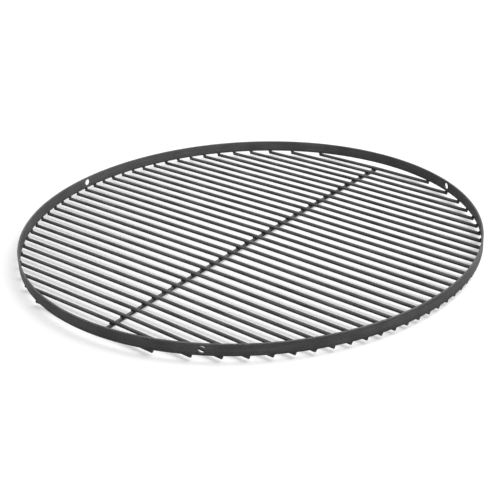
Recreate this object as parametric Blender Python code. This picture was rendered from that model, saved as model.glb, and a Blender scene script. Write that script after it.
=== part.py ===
"""Round grill grate for a fire bowl or a tripod, about 80 cm across.

A flat bar is rolled on edge into a ring and closed by one butt weld. Parallel
round bars lie below the ring's lower edge and their square-cut ends stop just
past its inner face. One cross rod runs under all the bars, a little off their middles
and not quite square to them. Its welds have pulled the bars up there, so each
bar has a slight peak over the rod and the rod is arched. Three holes in the
band take the hooks of hanging chains.

Metres, +Z up. The bars run along X and the cross rod nearly along Y. The origin is on
the ring's axis, at the height of the lowest point, the cross rod's ends.
"""

import math

import bpy
from mathutils import Matrix, Vector

RIM_DIAMETER = 0.800
RIM_HEIGHT = 0.020
RIM_THICKNESS = 0.003
RIM_EDGE_CHAMFER = 0.0004

BAR_DIAMETER = 0.006
BAR_PITCH = 0.0235
BAR_END_INSET = 0.0025  # from the band's outer face to the middle of a bar's end
EDGE_SPACE = 0.012  # least way from the band's inner face to a bar's axis

CROSS_ROD_DIAMETER = 0.006
CROSS_ROD_OVERHANG = 0.008  # past the axis of the outermost bar
CROSS_ROD_OFFSET = 0.011  # from the middle bar's middle to where the rod passes under it
CROSS_ROD_TURN = math.radians(1.35)  # off square to the bars, counter-clockwise
CAMBER = 0.004  # how far the middle bar peaks above its ends

HOLE_DIAMETER = 0.012
HOLE_BEARINGS = (182.5, 63.0, -60.0)  # degrees from +X, counter-clockwise

SEAM_BEARING = 1.5  # halfway between two of the holes
SEAM_ROOT = 0.002  # gap between the strip's ends, filled by the weld
SEAM_BEAD_WIDTH = 0.006
SEAM_BEAD_CROWN = 0.0012
SEAM_BEAD_INSET = 0.0005  # from the band's upper and lower edges

FIT_GAP = 0.0003  # left between pieces that touch

RIM_SEGMENTS = 180
ROD_SIDES = 16
HOLE_SIDES = 32
BEAD_STEPS = 8
SHARP_EDGE = math.radians(30)  # steeper edges than this are shaded sharp

rim_outer = RIM_DIAMETER / 2
rim_inner = rim_outer - RIM_THICKNESS
bar_radius = BAR_DIAMETER / 2
rod_radius = CROSS_ROD_DIAMETER / 2
bars_each_side = int((rim_inner - EDGE_SPACE) / BAR_PITCH)
rod_half_length = bars_each_side * BAR_PITCH + CROSS_ROD_OVERHANG


def rise_at(y):
    """How far a bar stands higher over the cross rod than at its ends, at a distance y from the middle bar."""
    return CAMBER * math.sqrt(1 - (y / rim_outer) ** 2)


def rod_x(y):
    """Where along a bar the cross rod passes under it."""
    return CROSS_ROD_OFFSET - y * math.tan(CROSS_ROD_TURN)


bar_over_rod = rod_radius + FIT_GAP + bar_radius
bar_end_z = rod_radius + bar_over_rod - rise_at(rod_half_length)
rim_low_z = bar_end_z + bar_radius + FIT_GAP


def clear_scene():
    for obj in list(bpy.data.objects):
        bpy.data.objects.remove(obj)


def steel(name, colour, roughness, metallic=0.6):
    """Dark hot-rolled steel, of which every piece is made."""
    material = bpy.data.materials.new(name)
    material.use_nodes = True
    shader = material.node_tree.nodes["Principled BSDF"]
    shader.inputs["Base Color"].default_value = (*colour, 1)
    shader.inputs["Metallic"].default_value = metallic
    shader.inputs["Roughness"].default_value = roughness
    return material


def add_object(name, mesh, material, parent, location=(0, 0, 0)):
    mesh.materials.append(material)
    obj = bpy.data.objects.new(name, mesh)
    bpy.context.scene.collection.objects.link(obj)
    obj.location = location
    obj.parent = parent
    return obj


def loft(name, rings):
    """A closed body through rings of as many points each, with flat ends."""
    sides = len(rings[0])
    points = [point for ring in rings for point in ring]
    faces = [tuple(reversed(range(sides)))]
    for lower in range(0, len(points) - sides, sides):
        for side in range(sides):
            after = (side + 1) % sides
            faces.append((lower + side, lower + after, lower + sides + after, lower + sides + side))
    faces.append(tuple(range(len(points) - sides, len(points))))
    mesh = bpy.data.meshes.new(name)
    mesh.from_pydata(points, [], faces)
    mesh.shade_smooth()
    mesh.set_sharp_from_angle(angle=SHARP_EDGE)
    return mesh


def circle(centre, radius, across, up):
    """Points of a rod's section, the first and the middle one at its top and bottom."""
    turns = [math.tau * side / ROD_SIDES for side in range(ROD_SIDES)]
    return [
        Vector(centre) + radius * (math.sin(turn) * Vector(across) + math.cos(turn) * Vector(up))
        for turn in turns
    ]


def rim_section():
    """The band's section as (radius, height) pairs, counter-clockwise, with broken edges."""
    low, high = 0, RIM_HEIGHT
    cut = RIM_EDGE_CHAMFER
    return [
        (rim_inner + cut, low),
        (rim_outer - cut, low),
        (rim_outer, low + cut),
        (rim_outer, high - cut),
        (rim_outer - cut, high),
        (rim_inner + cut, high),
        (rim_inner, high - cut),
        (rim_inner, low + cut),
    ]


def rim_band(material, parent):
    """The rolled strip: a ring that stays open by the weld's root at the seam."""
    half_root = math.asin(SEAM_ROOT / 2 / rim_outer)
    start = math.radians(SEAM_BEARING) + half_root
    step = (math.tau - 2 * half_root) / RIM_SEGMENTS
    rings = []
    for segment in range(RIM_SEGMENTS + 1):
        turn = start + segment * step
        rings.append([
            (radius * math.cos(turn), radius * math.sin(turn), height)
            for radius, height in reversed(rim_section())
        ])
    band = add_object("rim_band", loft("rim_band", rings), material, parent, (0, 0, rim_low_z))
    for number, bearing in enumerate(HOLE_BEARINGS, 1):
        drill_hole(band, number, math.radians(bearing), parent)
    return band


def drill_hole(band, number, bearing, parent):
    """A radial hole through the middle of the band's height."""
    reach = 2 * RIM_THICKNESS
    outward = Vector((math.cos(bearing), math.sin(bearing), 0))
    across = Vector((-math.sin(bearing), math.cos(bearing), 0))
    middle = (rim_inner + rim_outer) / 2
    rings = []
    for distance in (middle - reach, middle + reach):
        rings.append([
            outward * distance
            + HOLE_DIAMETER / 2 * (math.cos(turn) * across + math.sin(turn) * Vector((0, 0, 1)))
            for turn in (math.tau * side / HOLE_SIDES for side in range(HOLE_SIDES))
        ])
    name = f"hole_cutter_{number}"
    cutter = add_object(name, loft(name, rings), band.data.materials[0], parent)
    cutter.location.z = rim_low_z + RIM_HEIGHT / 2
    cutter.hide_render = True
    cutter.display_type = "WIRE"
    cut = band.modifiers.new(name, "BOOLEAN")
    cut.operation = "DIFFERENCE"
    cut.object = cutter


def rim_seam_weld(material, parent):
    """The weld that closes the ring: flush outside, with a low crown on the inner face."""
    half_root = SEAM_ROOT / 2 - FIT_GAP
    half_bead = SEAM_BEAD_WIDTH / 2
    seat = rim_inner - FIT_GAP
    outline = [(seat, -half_root), (rim_outer, -half_root), (rim_outer, half_root), (seat, half_root)]
    for step in range(BEAD_STEPS + 1):
        turn = math.pi * step / BEAD_STEPS
        outline.append((seat - SEAM_BEAD_CROWN * math.sin(turn), half_bead * math.cos(turn)))
    facing = Matrix.Rotation(math.radians(SEAM_BEARING), 3, "Z")
    rings = [
        [facing @ Vector((out, across, height)) for out, across in outline]
        for height in (SEAM_BEAD_INSET, RIM_HEIGHT - SEAM_BEAD_INSET)
    ]
    mesh = loft("rim_seam_weld", rings)
    return add_object("rim_seam_weld", mesh, material, parent, (0, 0, rim_low_z))


def bar_name(row):
    """Bars are counted outwards from the middle one, and left is +Y."""
    if row == 0:
        return "grill_bar_middle"
    side = "left" if row > 0 else "right"
    return f"grill_bar_{side}_{abs(row):02d}"


def grill_bar(row, material, parent):
    """One bar, from its location over the cross rod down to both ends under the rim."""
    y = row * BAR_PITCH
    peak = Vector((rod_x(y), y, bar_end_z + rise_at(y)))
    half = math.sqrt((rim_outer - BAR_END_INSET) ** 2 - y ** 2)
    ends = [Vector((x, y, bar_end_z)) for x in (half, -half)]
    rings = [
        circle(centre - peak, bar_radius, (0, 1, 0), (0, 0, 1))
        for centre in (ends[0], peak, ends[1])
    ]
    name = bar_name(row)
    return add_object(name, loft(name, rings), material, parent, peak)


def cross_rod(material, parent):
    """The rod under the bars, arched so that it meets each of them."""
    places = [row * BAR_PITCH for row in range(-bars_each_side, bars_each_side + 1)]
    places = [-rod_half_length, *places, rod_half_length]
    across = (math.cos(CROSS_ROD_TURN), math.sin(CROSS_ROD_TURN), 0)
    rings = [
        circle((rod_x(y), y, rise_at(y)), rod_radius, across, (0, 0, 1))
        for y in places
    ]
    height = bar_end_z - bar_over_rod
    return add_object("cross_rod", loft("cross_rod", rings), material, parent, (0, 0, height))


def main():
    clear_scene()
    grate = bpy.data.objects.new("grill_grate", None)
    bpy.context.scene.collection.objects.link(grate)
    rim_steel = steel("rim_steel", (0.095, 0.095, 0.096), 0.50)
    bar_steel = steel("bar_steel", (0.105, 0.105, 0.106), 0.45)
    rod_steel = steel("cross_rod_steel", (0.100, 0.100, 0.101), 0.50)
    weld_steel = steel("weld_steel", (0.040, 0.040, 0.041), 0.65)
    rim_band(rim_steel, grate)
    rim_seam_weld(weld_steel, grate)
    cross_rod(rod_steel, grate)
    for row in range(-bars_each_side, bars_each_side + 1):
        grill_bar(row, bar_steel, grate)


main()
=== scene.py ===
"""Looks of the round welded grill grate: the finish of its steel pieces and welds, and the studio round it.

Metres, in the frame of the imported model: +Z up, the bars along X and the cross rod nearly along Y, and the
floor at Z = 0. Each rod or strip is made again where its CAD node lies, with more faces, broken edges and a
little unevenness.
"""

import math
import random

import bmesh
import bpy
import numpy as np
from mathutils import Matrix, Vector, noise


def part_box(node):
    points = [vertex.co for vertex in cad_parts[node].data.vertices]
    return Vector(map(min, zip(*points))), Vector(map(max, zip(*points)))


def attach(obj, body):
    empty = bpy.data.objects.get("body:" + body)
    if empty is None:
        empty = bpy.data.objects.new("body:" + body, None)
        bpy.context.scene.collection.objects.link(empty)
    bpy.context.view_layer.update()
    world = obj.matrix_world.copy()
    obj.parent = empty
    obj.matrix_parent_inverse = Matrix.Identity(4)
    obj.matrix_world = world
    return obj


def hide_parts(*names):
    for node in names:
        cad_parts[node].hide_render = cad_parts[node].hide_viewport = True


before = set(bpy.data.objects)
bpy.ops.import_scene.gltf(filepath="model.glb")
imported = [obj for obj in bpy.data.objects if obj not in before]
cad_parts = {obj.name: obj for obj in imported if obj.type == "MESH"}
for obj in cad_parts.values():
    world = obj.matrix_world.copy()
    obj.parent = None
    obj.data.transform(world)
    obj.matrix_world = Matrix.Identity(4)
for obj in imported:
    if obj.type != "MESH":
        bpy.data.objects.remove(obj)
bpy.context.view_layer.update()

ALONG_BARS = Vector((1, 0, 0))
ACROSS_BARS = Vector((0, 1, 0))
UP = Vector((0, 0, 1))
SHARP_EDGE = 35  # degrees, over which an edge is shaded sharp

# The band
EDGE_RADIUS = 0.0005  # of the flat bar's rolled edges
EDGE_STEPS = 4
COLUMN_STEP = 0.0035  # length of the band's faces
CELL = 6  # columns and rows of faces that make room for a hole
OUTER_FOOT = 0  # row of the band's section at which its outer face starts
INNER_HEAD = CELL + 2 * EDGE_STEPS + 1  # row at which its inner face starts
HOLE_RADIUS = 0.006
HOLE_SIDES = 8 * CELL  # two for each point round its cell
HOLE_EDGE = 0.0003  # radius of its broken edges
HOLE_EDGE_STEPS = 3
HOLE_BEARINGS = (182.5, 63.0, -60.0)  # degrees from +X, counter-clockwise
SEAM_BEARING = 1.5
BAND_WAVE = 0.00025  # how far the rolled band wavers inwards at most
BAND_WAVES = 3  # rate of its waver round the ring

# The rods
ROD_SIDES = 24
ROD_STEP = 0.010  # length of a rod's faces
ROD_END_RADIUS = 0.0004  # of the broken edge at each end
ROD_END_STEPS = 3
ROD_END_SLANT = 0.0004  # unevenness of the shear cut
ROD_END_SLICE = 0.001  # depth of a slice that holds an end's points and no others
ROD_WAVE = 0.0004  # how far a rod strays from a straight line at most
ROD_WAVES = 6  # rate of its straying, per metre
ROD_LIFT = 0.25  # mean of how far it strays upwards, as a share of ROD_WAVE
SIDEWAYS_SLICE = 0  # of the noise that a rod strays sideways by
UPWARDS_SLICE = 9  # of the noise that it strays upwards by
STOCK_LENGTH = 50  # of the stock that rods are cut from, each at a place of its own
CROSS_ROD_SEED = 99
FIT_GAP = 0.0003  # between the CAD model's pieces
PEAK_SOFTNESS = 0.006  # half the length over which a bar bends at the cross rod

# The welds
BAR_END_WELD = (0.0028, 0.0036, 0.0024)  # reach inwards, along the band and upwards
ROD_WELD = (0.0022, 0.0036, 0.0021)  # reach along the bar, along the rod and upwards
ROD_WELD_SEED = 500
WELD_SUBDIVISIONS = 2  # of the ball that a weld is made from
WELD_SIZES = (0.85, 1.12)  # least and greatest share of the reach
WELD_ROUGHNESS = 0.16  # share of its size by which a weld's surface wavers
WELD_WAVES = 1.4  # rate of that waver
WELD_RIPPLE = 0.04  # share of its size by which it ripples
WELD_RIPPLES = 9  # rate of the ripples
WELD_GRAIN = 0.003  # radius of a weld in the pattern of its metal
WELD_SPREAD = 20  # how far apart in that pattern and in the noise two welds may be, along each axis
WELD_SHARP_EDGE = 80
SEAM_BEAD_WIDTH = 0.006
SEAM_BEAD_CROWN = 0.0012
SEAM_BEAD_INSET = 0.0005  # from the band's upper and lower edges
SEAM_ROOT = 0.002
SEAM_RIPPLE = 0.0014  # from one ripple of the bead to the next
SEAM_RIPPLE_DEPTH = 0.18  # share of the crown
SEAM_RIPPLE_BOW = 40  # how strongly the ripples bend
SEAM_END_WIDTH = 0.8  # share of the bead's width at its ends
SEAM_END_POWER = 6  # the higher, the squarer the bead's ends
SEAM_STEPS = 48
SEAM_CROWN_STEPS = 12
HEAT_AND_SHADE_SPREAD = 0.007  # how far the scale is darkened round a weld, by heat tint and painted shade at the joint

# The finish
STEEL_METALLIC = 0.03  # the scale is an oxide, with little bare metal showing through
STEEL_SPECULAR = 0.05
OUTSIDE_PAINTED_SHADE = 0.15  # share of the tone that painted shade takes on the band's outer face, darker than the inner
FOOT_PAINTED_SHADE = 0.25  # share of the tone that painted shade takes at the band's foot, by the floor
FOOT_PAINTED_SHADE_FALL = 3  # power with which that falls off towards the band's upper edge
UNDERSIDE_PAINTED_SHADE = 0.35  # share of the tone that painted shade takes under the rods
CLOUD_SCALE = 22
STREAK_SCALES = (14, 420, 420)  # along the stock, then across its section
MOTTLE_SCALE = 420
MOTTLE = 0.55  # how far mottle may lighten or darken the tone, as a share of it
PIT_SCALE = 1500
SCORCH_AND_SHADE = (0.55, 0.95)  # least and greatest share of the tone taken at a weld by its heat tint and by painted shade
RUBBED_TONE = 0.24
RUBBED_MOTTLE = (0.40, 0.62)  # mottle at which a worn edge starts to be rubbed, and is quite rubbed
RUBBED_SMOOTHNESS = 0.12
SMOOTHER = 0.07  # how far mottle may lower and raise the roughness
ROUGHER = 0.11
SCALE_RELIEF = 0.00012  # depth of its pits and mottle
SCALE_RELIEF_STRENGTH = 0.8
WELD_PATCH_SCALE = 300
WELD_PATCHES = 0.6  # how far patches may lighten or darken a weld, as a share of its tone
WELD_GRIT_SCALE = 1600
WELD_GRIT = 0.1  # how far grit may lower or raise the roughness
WELD_RELIEF = 0.0001  # depth of the grit
WELD_RELIEF_STRENGTH = 0.7

# The camera, which stands where the photograph was taken from
CAMERA_LENS = 81.875
CAMERA_DISTANCE = 1.98836
CAMERA_ELEVATION = 25.7385
CAMERA_BEARING = -48.817
CAMERA_ROLL = -2.7654
CAMERA_SHIFT = (-0.0002, -0.0305)

# The studio
WORLD_LIGHT = 0.52  # on the grate and the floor, while the world itself shows white
PANEL_DISTANCE = 2.4
PANEL_SIZE = 1.6  # its diameter
FLOOR_SIZE = 12.0
FLOOR_TONE = 0.62  # where it is seen
FLOOR_BOUNCE = 0.08  # in the light that it sends back to the grate
FLOOR_GLOW = 0.30  # only where it is seen


def node_points(name):
    return [vertex.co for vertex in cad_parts[name].data.vertices]


band_low, band_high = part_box("rim_band")
band_height = band_high.z - band_low.z
band_reaches = [math.hypot(place.x, place.y) for place in node_points("rim_band")]
band_inner = min(band_reaches)
band_outer = max(band_reaches)
bar_names = [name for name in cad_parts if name.startswith("grill_bar")]


class Bar:
    """Where one bar lies, as its CAD node says."""

    def __init__(self, name):
        low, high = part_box(name)
        self.name = name
        self.y = (low.y + high.y) / 2
        self.radius = (high.y - low.y) / 2
        self.half = high.x
        self.end_z = low.z + self.radius
        self.rise = high.z - self.radius - self.end_z
        self.peak = max(node_points(name), key=lambda place: place.z).x

    def height(self, x):
        """Height of the bar's axis: highest over the cross rod, with a soft bend there."""
        slope = self.half - math.copysign(self.peak, x - self.peak)
        away = math.hypot(x - self.peak, PEAK_SOFTNESS) / math.hypot(slope, PEAK_SOFTNESS)
        return self.end_z + self.rise * (1 - away)

    def axis(self, x):
        return Vector((x, self.y, self.height(x)))


bars = sorted((Bar(name) for name in bar_names), key=lambda bar: bar.y)


class CrossRod:
    """Where the cross rod lies, as its CAD node and the bars over it say."""

    def __init__(self):
        low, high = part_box("cross_rod")
        end = [place.z for place in node_points("cross_rod") if place.y > high.y - ROD_END_SLICE]
        self.radius = (max(end) - min(end)) / 2
        self.half = high.y
        self.ys = [low.y, *(bar.y for bar in bars), high.y]
        self.xs = [high.x - self.radius, *(bar.peak for bar in bars), low.x + self.radius]
        ends = low.z + self.radius
        under_bars = [bar.end_z + bar.rise - bar.radius - FIT_GAP - self.radius for bar in bars]
        self.zs = [ends, *under_bars, ends]

    def axis(self, y):
        return Vector((float(np.interp(y, self.ys, self.xs)), y, float(np.interp(y, self.ys, self.zs))))


rod = CrossRod()


class Piece:
    """Points and faces of one piece, with what its finish needs to know at each point.

    grain holds the place in the stock that the piece was cut from: along it, then across its section.
    wear is 1 on edges that rub bright. The share of its tone taken off by painted shade is kept with each
    point too.
    """

    def __init__(self, name):
        self.name = name
        self.points = []
        self.grain = []
        self.wear = []
        self.painted_shade = []
        self.faces = []

    def point(self, place, grain, wear=0.0, painted_shade=0.0):
        self.points.append(tuple(place))
        self.grain.append(tuple(grain))
        self.wear.append(wear)
        self.painted_shade.append(painted_shade)
        return len(self.points) - 1

    def bridge(self, rings):
        """Faces between each ring and the next, which has as many points."""
        for ring, following in zip(rings, rings[1:]):
            count = len(ring)
            for side in range(count):
                after = (side + 1) % count
                self.faces.append((ring[side], ring[after], following[after], following[side]))

    def loft(self, rings):
        """A body through rings of points, with flat ends."""
        self.bridge(rings)
        self.faces += [rings[0], rings[-1]]

    def make(self, material, replaced, heat_and_shade_places, sharp=SHARP_EDGE):
        mesh = bpy.data.meshes.new(self.name)
        mesh.from_pydata(self.points, [], self.faces)
        turn_faces_outwards(mesh)
        add_attribute(mesh, "grain", "FLOAT_VECTOR", "vector", self.grain)
        add_attribute(mesh, "wear", "FLOAT", "value", self.wear)
        add_attribute(mesh, "painted_shade", "FLOAT", "value", self.painted_shade)
        add_attribute(mesh, "heat", "FLOAT", "value", heat_and_shade_at(self.points, heat_and_shade_places))
        mesh.shade_smooth()
        mesh.set_sharp_from_angle(angle=math.radians(sharp))
        mesh.materials.append(material)
        piece = add_object(self.name, mesh)
        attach(piece, "root")
        if replaced:
            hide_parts(replaced)
        return piece


def turn_faces_outwards(mesh):
    shell = bmesh.new()
    shell.from_mesh(mesh)
    bmesh.ops.recalc_face_normals(shell, faces=shell.faces)
    shell.to_mesh(mesh)
    shell.free()


def add_attribute(mesh, name, kind, field, values):
    attribute = mesh.attributes.new(name, kind, "POINT")
    attribute.data.foreach_set(field, np.array(values, np.float32).ravel())


def add_object(name, data):
    added = bpy.data.objects.new(name, data)
    bpy.context.scene.collection.objects.link(added)
    return added


def heat_and_shade_at(points, heat_and_shade_places):
    """1 at a weld, falling to 0 away from all of them."""
    places = np.array(points)
    nearest = np.full(len(places), np.inf)
    for heat_and_shade_place in heat_and_shade_places:
        nearest = np.minimum(nearest, np.linalg.norm(places - np.array(heat_and_shade_place), axis=1))
    return np.exp(-((nearest / HEAT_AND_SHADE_SPREAD) ** 2))


# Where the welds are

def bar_end_corner(bar, side):
    """The corner between a bar's upper side and the band's inner face."""
    return Vector((side * math.sqrt(band_inner ** 2 - bar.y ** 2), bar.y, band_low.z))


def crossing(bar, side):
    """Half-way from where a bar touches the cross rod to one side of the rod."""
    return Vector((bar.peak + side * rod.radius / 2, bar.y, bar.height(bar.peak) - bar.radius))


end_corners = [bar_end_corner(bar, side) for bar in bars for side in (-1, 1)]
crossings = [crossing(bar, side) for bar in bars for side in (-1, 1)]
weld_places = end_corners + crossings


# The band

def from_seam(bearing):
    """A bearing in radians, within the turn that ends at the seam."""
    return math.radians(bearing) - (math.tau if bearing > SEAM_BEARING else 0)


def band_columns():
    """Bearings of the band's columns of points, from one side of the seam round to the other, and where
    each hole's cell of columns starts."""
    half_cell = CELL / 2 * COLUMN_STEP / band_outer
    start = math.radians(SEAM_BEARING) - math.tau
    turns = [start]
    cells = {}
    for bearing in sorted(from_seam(bearing) for bearing in HOLE_BEARINGS):
        extend(turns, bearing - half_cell)
        cells[len(turns) - 1] = bearing
        for column in range(1, CELL + 1):
            turns.append(bearing - half_cell + column * 2 * half_cell / CELL)
    extend(turns, start + math.tau)
    return turns, cells


def extend(turns, end):
    """Goes on to a bearing in equal steps."""
    first = turns[-1]
    steps = math.ceil((end - first) * band_outer / COLUMN_STEP)
    turns.extend(first + (end - first) * step / steps for step in range(1, steps + 1))


def band_section():
    """The band's section as (radius, height above its lower edge, wear), counter-clockwise from the foot of
    its outer face. Both faces have CELL rows."""
    low, high = EDGE_RADIUS, band_height - EDGE_RADIUS
    inner, outer = band_inner + EDGE_RADIUS, band_outer - EDGE_RADIUS
    row = (band_height - 2 * EDGE_RADIUS) / CELL
    outer_face = [(band_outer, low + row * level, 0.0) for level in range(CELL)]
    upper_edges = rounded(outer, high, 0) + rounded(inner, high, 90)
    inner_face = [(band_inner, high - row * level, 0.0) for level in range(1, CELL)]
    lower_edges = rounded(inner, low, 180) + rounded(outer, low, 270)
    return outer_face + upper_edges + inner_face + lower_edges[:-1]


def rounded(radius, up, start):
    """A quarter turn round one edge of the section, from an angle in degrees, most worn at its middle."""
    points = []
    for step in range(EDGE_STEPS + 1):
        turn = math.radians(start + 90 * step / EDGE_STEPS)
        wear = math.sin(math.pi * step / EDGE_STEPS)
        points.append((radius + EDGE_RADIUS * math.cos(turn), up + EDGE_RADIUS * math.sin(turn), wear))
    return points


def band_point(piece, turn, radius, up, wear):
    """Adds a point of the band, which lies a little inside its circle where the band wavers."""
    outwards = Vector((math.cos(turn), math.sin(turn), 0))
    waver = BAND_WAVE * (1 + noise.noise(outwards * BAND_WAVES)) / 2
    place = outwards * (radius - waver) + UP * (band_low.z + up)
    grain = (turn * band_outer, radius - band_inner, up)
    return piece.point(place, grain, wear, band_painted_shade(radius, up))


def band_painted_shade(radius, up):
    """Painted shade on the band, which makes it darker on its outer face and at its foot."""
    outside = (radius - band_inner) / (band_outer - band_inner)
    foot = 1 - up / band_height
    return OUTSIDE_PAINTED_SHADE * outside + FOOT_PAINTED_SHADE * foot ** FOOT_PAINTED_SHADE_FALL


def band_grid(piece, turns, cells):
    """Points of the band by column and row, with none inside the holes' cells."""
    empty_columns = {start + column for start in cells for column in range(1, CELL)}
    empty_rows = {start + row for start in (OUTER_FOOT, INNER_HEAD) for row in range(1, CELL)}
    section = band_section()
    grid = {}
    for column, turn in enumerate(turns):
        for row, (radius, up, wear) in enumerate(section):
            if column not in empty_columns or row not in empty_rows:
                grid[column, row] = band_point(piece, turn, radius, up, wear)
    return grid


def band_faces(piece, grid, columns, cells):
    """Faces between neighbours in the grid, apart from the holes' cells, and the strip's two ends."""
    rows = len(band_section())
    for column in range(columns - 1):
        in_cell = any(start <= column < start + CELL for start in cells)
        for row in range(rows):
            on_face = any(start <= row < start + CELL for start in (OUTER_FOOT, INNER_HEAD))
            if in_cell and on_face:
                continue
            after = (row + 1) % rows
            corners = [(column, row), (column + 1, row), (column + 1, after), (column, after)]
            piece.faces.append([grid[corner] for corner in corners])
    for column in (0, columns - 1):
        piece.faces.append([grid[column, row] for row in range(rows)])


def rim_band(material):
    piece = Piece("rim_band_rolled")
    turns, cells = band_columns()
    grid = band_grid(piece, turns, cells)
    band_faces(piece, grid, len(turns), cells)
    for start, bearing in cells.items():
        outer = hole_edge(piece, bearing, band_outer, -1)
        inner = hole_edge(piece, bearing, band_inner, 1)
        frame_hole(piece, grid, start, outer[0], OUTER_FOOT, 1)
        frame_hole(piece, grid, start, inner[0], INNER_HEAD + CELL, -1)
        piece.bridge(outer)
        piece.bridge(inner)
        piece.bridge([outer[-1], inner[-1]])
    return piece.make(material, "rim_band", end_corners)


def hole_edge(piece, bearing, face, into):
    """Rings of points from one face of the band round the hole's broken edge to its wall."""
    rings = []
    for step in range(HOLE_EDGE_STEPS + 1):
        turn = math.pi / 2 * step / HOLE_EDGE_STEPS
        reach = HOLE_RADIUS + HOLE_EDGE * (1 - math.sin(turn))
        radius = face + into * HOLE_EDGE * (1 - math.cos(turn))
        ring = []
        for side in range(HOLE_SIDES):
            way = math.tau * side / HOLE_SIDES
            along = bearing + math.asin(reach * math.cos(way) / radius)
            up = band_height / 2 + reach * math.sin(way)
            ring.append(band_point(piece, along, radius, up, math.sin(2 * turn)))
        rings.append(ring)
    return rings


def frame_hole(piece, grid, start, ring, foot, up):
    """Faces between the square cell in one of the band's faces and the hole's first ring, which has twice
    as many points."""
    half = CELL // 2
    count = 4 * CELL
    edge = []
    for step in range(count):
        column = start + half + on_square(step)
        row = foot + up * (half + on_square(step - CELL))
        edge.append(grid[column, row])
    for step in range(count):
        nearest = [ring[(2 * step + extra) % len(ring)] for extra in (2, 1, 0)]
        piece.faces.append([edge[step], edge[(step + 1) % count], *nearest])


def on_square(step):
    """Place along one axis, from -CELL / 2 to CELL / 2, of a point that goes round a square cell."""
    half = CELL // 2
    return max(-half, min(half, abs(2 * CELL - step % (4 * CELL)) - CELL))


def rim_seam_weld(material):
    """The seam's weld: its root inside the band, ground flush outside, and a rippled bead inside."""
    piece = Piece("rim_seam_bead")
    facing = Matrix.Rotation(math.radians(SEAM_BEARING), 3, "Z")
    height = band_height - 2 * SEAM_BEAD_INSET
    rings = []
    for step in range(SEAM_STEPS + 1):
        up = SEAM_BEAD_INSET + height * step / SEAM_STEPS
        from_middle = abs(2 * step / SEAM_STEPS - 1)
        swell = math.sqrt(max(0.0, 1 - from_middle ** SEAM_END_POWER))
        ring = []
        for out, across in seam_outline(up, swell):
            place = facing @ Vector((out, across, band_low.z + up))
            ring.append(piece.point(place, (up, across, out - band_inner)))
        rings.append(ring)
    piece.loft(rings)
    return piece.make(material, "rim_seam_weld", [])


def seam_outline(up, swell):
    """The weld's section at a height, as (distance from the ring's axis, distance from the seam)."""
    half_root = SEAM_ROOT / 2
    root_end = band_outer - 2 * BAND_WAVE
    outline = [
        (band_inner, -half_root),
        (root_end, -half_root),
        (root_end, half_root),
        (band_inner, half_root),
    ]
    for step in range(SEAM_CROWN_STEPS + 1):
        turn = math.pi * step / SEAM_CROWN_STEPS
        across = SEAM_BEAD_WIDTH / 2 * math.cos(turn)
        phase = math.tau * (up + SEAM_RIPPLE_BOW * across ** 2) / SEAM_RIPPLE
        ripple = 1 - SEAM_RIPPLE_DEPTH * (1 - math.cos(phase))
        out = band_inner - SEAM_BEAD_CROWN * math.sin(turn) * ripple * swell
        outline.append((out, across * (SEAM_END_WIDTH + (1 - SEAM_END_WIDTH) * swell)))
    return outline


# The rods

class Stock:
    """A length of round stock, which isn't quite straight, and the uneven shear cut at each end of it."""

    def __init__(self, half, radius, seed):
        chance = random.Random(seed)
        self.half = half
        self.radius = radius
        self.offset = chance.uniform(0, STOCK_LENGTH)
        self.slants = {end: chance.uniform(0, ROD_END_SLANT) for end in (-1, 1)}

    def stations(self):
        """Where its rings of points are from one end to the other, as (distance along it, radius, wear)."""
        inner_half = self.half - ROD_END_RADIUS
        edge = []
        for step in range(ROD_END_STEPS):
            turn = math.pi / 2 * step / ROD_END_STEPS
            along = inner_half + ROD_END_RADIUS * math.cos(turn)
            edge.append((along, self.radius - ROD_END_RADIUS * (1 - math.sin(turn)), math.cos(turn)))
        steps = max(2, round(2 * inner_half / ROD_STEP))
        places = [inner_half - 2 * inner_half * step / steps for step in range(steps + 1)]
        middle = [(along, self.radius, 0.0) for along in places]
        far_edge = [(-along, reach, wear) for along, reach, wear in reversed(edge)]
        return edge + middle + far_edge

    def stray(self, along):
        """How far it strays sideways and upwards from its line, not at all at its ends."""
        free = ROD_WAVE * (1 - (along / self.half) ** 2)
        sideways = noise.noise(Vector((ROD_WAVES * along, self.offset, SIDEWAYS_SLICE)))
        upwards = noise.noise(Vector((ROD_WAVES * along, self.offset, UPWARDS_SLICE)))
        return free * sideways, free * ROD_LIFT * (1 + upwards)

    def ring(self, piece, station, axis, direction):
        """Adds one ring of points, the first of them on top."""
        along, reach, wear = station
        across = UP.cross(direction)
        sideways, upwards = self.stray(along)
        centre = axis + across * sideways + UP * upwards
        end = math.copysign(1, along)
        ring = []
        for side in range(ROD_SIDES):
            turn = math.tau * side / ROD_SIDES
            right, top = reach * math.sin(turn), reach * math.cos(turn)
            cut_back = end * self.slants[end] * wear * (1 + right / self.radius) / 2
            place = centre + across * right + UP * top - direction * cut_back
            # painted shade: darker towards the underside of each rod
            painted_shade = UNDERSIDE_PAINTED_SHADE * ((1 - math.cos(turn)) / 2) ** 2
            ring.append(piece.point(place, (along + self.offset, right, top), wear, painted_shade))
        return ring


def round_rod(name, line, direction, seed):
    """A rod along the line of a bar or of the cross rod."""
    piece = Piece(name)
    stock = Stock(line.half, line.radius, seed)
    rings = []
    for station in stock.stations():
        rings.append(stock.ring(piece, station, line.axis(station[0]), direction))
    piece.loft(rings)
    return piece


def grill_bar(bar, material, seed):
    piece = round_rod(bar.name.replace("grill_bar", "round_bar"), bar, ALONG_BARS, seed)
    return piece.make(material, bar.name, weld_places)


def cross_rod(material, seed):
    piece = round_rod("cross_rod_arched", rod, ACROSS_BARS, seed)
    return piece.make(material, "cross_rod", crossings)


# The welds

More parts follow.
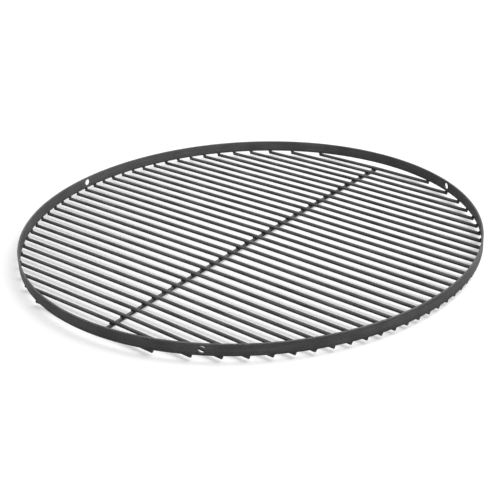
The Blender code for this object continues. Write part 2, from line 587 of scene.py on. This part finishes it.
def weld_lump(piece, centre, axes, reaches, seed):
    """A small uneven lump of weld metal round its centre, with a reach along each of three axes."""
    ball = bmesh.new()
    bmesh.ops.create_icosphere(ball, subdivisions=WELD_SUBDIVISIONS, radius=1)
    chance = random.Random(seed)
    shift = Vector([chance.uniform(0, WELD_SPREAD) for _ in range(3)])
    size = chance.uniform(*WELD_SIZES)
    first = len(piece.points)
    for vertex in ball.verts:
        swell = size * (1 + WELD_ROUGHNESS * noise.noise(vertex.co * WELD_WAVES + shift))
        swell *= 1 + WELD_RIPPLE * math.sin(WELD_RIPPLES * vertex.co.y + shift.x)
        place = centre.copy()
        for axis, reach, part in zip(axes, reaches, vertex.co):
            place += axis * reach * part * swell
        piece.point(place, vertex.co * WELD_GRAIN + shift)
    for face in ball.faces:
        piece.faces.append([first + vertex.index for vertex in face.verts])
    ball.free()


def bar_end_welds(material):
    piece = Piece("bar_end_welds")
    for seed, corner in enumerate(end_corners):
        inwards = -Vector((corner.x, corner.y, 0)).normalized()
        weld_lump(piece, corner, (inwards, UP.cross(inwards), UP), BAR_END_WELD, seed)
    return piece.make(material, None, [], sharp=WELD_SHARP_EDGE)


def cross_rod_welds(material):
    piece = Piece("cross_rod_welds")
    for seed, corner in enumerate(crossings, ROD_WELD_SEED):
        weld_lump(piece, corner, (ALONG_BARS, ACROSS_BARS, UP), ROD_WELD, seed)
    return piece.make(material, None, [], sharp=WELD_SHARP_EDGE)


# The finish

class Shading:
    """Adds nodes to one material or world and joins them."""

    def __init__(self, owner, shader="Principled BSDF"):
        owner.use_nodes = True
        self.owner = owner
        self.tree = owner.node_tree
        self.shader = self.tree.nodes[shader]

    def add(self, kind, inputs, output=0, **settings):
        node = self.tree.nodes.new(kind)
        for name, value in settings.items():
            setattr(node, name, value)
        for name, value in inputs.items():
            self.feed(node.inputs[name], value)
        return node.outputs[output]

    def feed(self, socket, value):
        if isinstance(value, bpy.types.NodeSocket):
            self.tree.links.new(value, socket)
        else:
            socket.default_value = value

    def use(self, **inputs):
        """Feeds the shader itself, with underscores for the spaces in its inputs' names."""
        for name, value in inputs.items():
            self.feed(self.shader.inputs[name.replace("_", " ")], value)

    def math(self, operation, first, second):
        return self.add("ShaderNodeMath", {0: first, 1: second}, operation=operation)

    def product(self, first, *others):
        for other in others:
            first = self.math("MULTIPLY", first, other)
        return first

    def without(self, share):
        """What is left of 1."""
        return self.math("SUBTRACT", 1.0, share)

    def attribute(self, name, output="Fac"):
        return self.add("ShaderNodeAttribute", {}, output, attribute_name=name)

    def scaled(self, vector, scales):
        return self.add("ShaderNodeVectorMath", {0: vector, 1: scales}, operation="MULTIPLY")

    def noise(self, vector, scale, detail, roughness=0.55):
        inputs = {"Vector": vector, "Scale": scale, "Detail": detail, "Roughness": roughness}
        return self.add("ShaderNodeTexNoise", inputs, "Fac")

    def spread(self, value, low, high):
        """A value between 0 and 1 taken to between low and high."""
        return self.add("ShaderNodeMapRange", {"Value": value, "To Min": low, "To Max": high})

    def around_one(self, value, share):
        """A value between 0 and 1 taken to between 1 less a share and 1 more it."""
        return self.spread(value, 1 - share, 1 + share)

    def window(self, value, start, end):
        """0 below start and 1 above end."""
        inputs = {"Value": value, "From Min": start, "From Max": end}
        return self.add("ShaderNodeMapRange", inputs, interpolation_type="SMOOTHSTEP")

    def mix(self, factor, first, second):
        return self.add("ShaderNodeMix", {"Factor": factor, "A": first, "B": second})

    def relief(self, height, distance, strength):
        return self.add("ShaderNodeBump", {"Height": height, "Distance": distance, "Strength": strength})


def mill_scale(name, tone, roughness, rub, patchy):
    """Dark hot-rolled steel: cloudy, streaked along the stock, darker by its welds, rubbed on its edges.
    At the welds heat tint and painted shade both darken it, and painted shade darkens its undersides.

    rub is how much its worn edges show. patchy is how far the clouds and the streaks may each lighten or
    darken it, as a share of its tone.
    """
    steel = Shading(bpy.data.materials.new(name))
    grain = steel.attribute("grain", "Vector")
    clouds = steel.noise(grain, CLOUD_SCALE, detail=2)
    streaks = steel.noise(steel.scaled(grain, STREAK_SCALES), scale=1, detail=2)
    mottle = steel.noise(grain, MOTTLE_SCALE, detail=4, roughness=0.65)
    pits = steel.noise(grain, PIT_SCALE, detail=3)
    # darker round the welds: heat tint, with painted shade where the bars meet the band and the cross rod
    scorch_and_shade = steel.product(steel.attribute("heat"), steel.spread(clouds, *SCORCH_AND_SHADE))
    scale_tone = steel.product(
        steel.around_one(clouds, patchy),
        steel.around_one(streaks, patchy),
        steel.around_one(mottle, MOTTLE),
        steel.without(scorch_and_shade),
        # painted shade under the rods, at the band's foot and on its outer face
        steel.without(steel.attribute("painted_shade")),
        tone,
    )
    rubbed = steel.product(steel.window(mottle, *RUBBED_MOTTLE), steel.attribute("wear"), rub)
    uneven = steel.spread(mottle, roughness - SMOOTHER, roughness + ROUGHER)
    height = steel.math("ADD", pits, mottle)
    steel.use(
        Base_Color=steel.mix(rubbed, scale_tone, RUBBED_TONE),
        Metallic=STEEL_METALLIC,
        Specular_IOR_Level=STEEL_SPECULAR,
        Roughness=steel.math("SUBTRACT", uneven, steel.product(rubbed, RUBBED_SMOOTHNESS)),
        Normal=steel.relief(height, SCALE_RELIEF, SCALE_RELIEF_STRENGTH),
    )
    return steel.owner


def weld_metal(name, tone, roughness):
    """Weld metal as it cooled: darker, rougher and more uneven than the steel round it."""
    metal = Shading(bpy.data.materials.new(name))
    grain = metal.attribute("grain", "Vector")
    patches = metal.noise(grain, WELD_PATCH_SCALE, detail=3)
    grit = metal.noise(grain, WELD_GRIT_SCALE, detail=3)
    metal.use(
        Base_Color=metal.product(metal.around_one(patches, WELD_PATCHES), tone),
        Metallic=STEEL_METALLIC,
        Specular_IOR_Level=STEEL_SPECULAR,
        Roughness=metal.spread(grit, roughness - WELD_GRIT, roughness + WELD_GRIT),
        Normal=metal.relief(grit, WELD_RELIEF, WELD_RELIEF_STRENGTH),
    )
    return metal.owner


# The studio

def way_to(bearing, elevation):
    """The way from the middle of the floor to what stands at a bearing and an elevation, in degrees."""
    turn = math.radians(bearing)
    rise = math.radians(elevation)
    return Vector((math.cos(rise) * math.cos(turn), math.cos(rise) * math.sin(turn), math.sin(rise)))


def camera():
    back = way_to(CAMERA_BEARING, CAMERA_ELEVATION)
    right = UP.cross(back).normalized()
    lean = Matrix.Rotation(math.radians(CAMERA_ROLL), 3, back)
    axes = Matrix((lean @ right, lean @ back.cross(right), back)).transposed()
    lens = bpy.data.cameras.new("camera")
    lens.lens = CAMERA_LENS
    lens.shift_x, lens.shift_y = CAMERA_SHIFT
    eye = add_object("camera", lens)
    eye.matrix_world = Matrix.Translation(UP * band_low.z + back * CAMERA_DISTANCE) @ axes.to_4x4()
    bpy.context.scene.camera = eye


def hang(lamp, bearing, elevation, distance=0.0):
    """Hangs up a lamp so that it faces the middle of the floor."""
    way = way_to(bearing, elevation)
    facing = way.to_track_quat("Z", "Y").to_matrix().to_4x4()
    add_object(lamp.name, lamp).matrix_world = Matrix.Translation(way * distance) @ facing


def soft_sun(name, bearing, elevation, angle, strength):
    """A wide soft light from far away, which lights the whole floor evenly."""
    lamp = bpy.data.lights.new(name, "SUN")
    lamp.angle = math.radians(angle)
    lamp.energy = strength
    hang(lamp, bearing, elevation)


def soft_panel(name, bearing, elevation, strength):
    """A round panel near the grate, which lights its near side more and throws a soft shadow past the other.

    strength is the light that it gives the floor at the grate's middle.
    """
    lamp = bpy.data.lights.new(name, "AREA")
    lamp.shape = "DISK"
    lamp.size = PANEL_SIZE
    lamp.energy = strength * math.pi * PANEL_DISTANCE ** 2 / math.sin(math.radians(elevation))
    hang(lamp, bearing, elevation, PANEL_DISTANCE)


def shown(shading):
    """1 for what the camera sees directly, in gloss and through glass, and 0 for light that bounces."""
    path = shading.tree.nodes.new("ShaderNodeLightPath")
    seen = shading.math("MAXIMUM", path.outputs["Is Camera Ray"], path.outputs["Is Glossy Ray"])
    return shading.math("MAXIMUM", seen, path.outputs["Is Transmission Ray"])


def studio_world():
    """White where it shows, and a weaker light on the object."""
    world = Shading(bpy.data.worlds.new("studio"), "Background")
    bpy.context.scene.world = world.owner
    world.use(Color=(1, 1, 1, 1), Strength=world.spread(shown(world), WORLD_LIGHT, 1.0))


def floor():
    """A white floor that keeps the grate's shadow."""
    half = FLOOR_SIZE / 2
    corners = [(-half, -half, 0), (half, -half, 0), (half, half, 0), (-half, half, 0)]
    mesh = bpy.data.meshes.new("floor")
    mesh.from_pydata(corners, [], [(0, 1, 2, 3)])
    plane = add_object("floor", mesh)
    pale = Shading(bpy.data.materials.new("floor_white"))
    seen = shown(pale)
    pale.use(
        Base_Color=pale.spread(seen, FLOOR_BOUNCE, FLOOR_TONE),
        Roughness=1.0,
        Specular_IOR_Level=0.0,
        Emission_Color=(1, 1, 1, 1),
        Emission_Strength=pale.spread(seen, 0.0, FLOOR_GLOW),
    )
    mesh.materials.append(pale.owner)


def studio():
    bpy.context.scene.view_settings.view_transform = "Standard"
    camera()
    studio_world()
    floor()
    soft_sun("overhead_softbox", bearing=42, elevation=76, angle=32, strength=1.3)
    soft_sun("front_softbox", bearing=-32, elevation=30, angle=60, strength=0.8)
    soft_panel("side_panel", bearing=41, elevation=53, strength=1.3)


def grate():
    rim_steel = mill_scale("rim_mill_scale", tone=0.109, roughness=0.50, rub=0.6, patchy=0.4)
    bar_steel = mill_scale("bar_mill_scale", tone=0.086, roughness=0.58, rub=0.5, patchy=0.8)
    rod_steel = mill_scale("rod_mill_scale", tone=0.092, roughness=0.50, rub=0.5, patchy=0.8)
    metal = weld_metal("weld_metal", tone=0.040, roughness=0.6)
    rim_band(rim_steel)
    rim_seam_weld(metal)
    for seed, bar in enumerate(bars):
        grill_bar(bar, bar_steel, seed)
    cross_rod(rod_steel, CROSS_ROD_SEED)
    bar_end_welds(metal)
    cross_rod_welds(metal)


studio()
grate()
